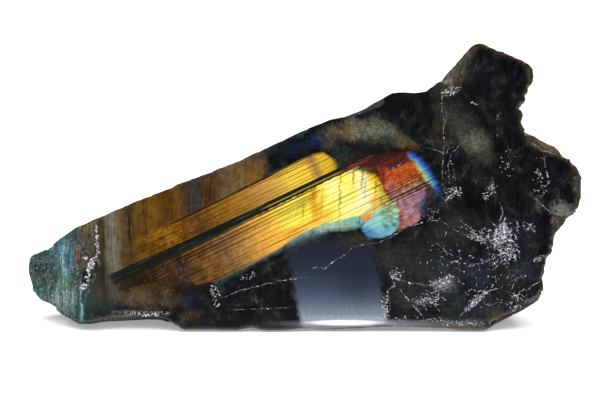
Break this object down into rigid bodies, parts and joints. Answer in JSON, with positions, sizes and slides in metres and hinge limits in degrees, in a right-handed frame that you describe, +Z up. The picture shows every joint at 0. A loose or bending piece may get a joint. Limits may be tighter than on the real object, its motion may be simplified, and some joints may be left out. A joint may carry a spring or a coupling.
{
  "type": "rough labradorite chunk",
  "caption": "Wedge-shaped chunk of dark feldspar standing on edge: flat polished front with an iridescent gold band, broken sides and back.",
  "frame": {"origin": "centre of the bounding box's bottom, where the chunk stands", "axes": "+X along the length from the thin tip to the thick end, +Y away from the polished front, +Z up"},
  "size_m": [0.1664, 0.0396, 0.0848],
  "materials": {
    "labradorite": "front sawn and polished to a gloss, sides and back left as broken"
  },
  "bodies": {
    "root": {"labradorite_chunk": "labradorite"}
  },
  "joints": []
}
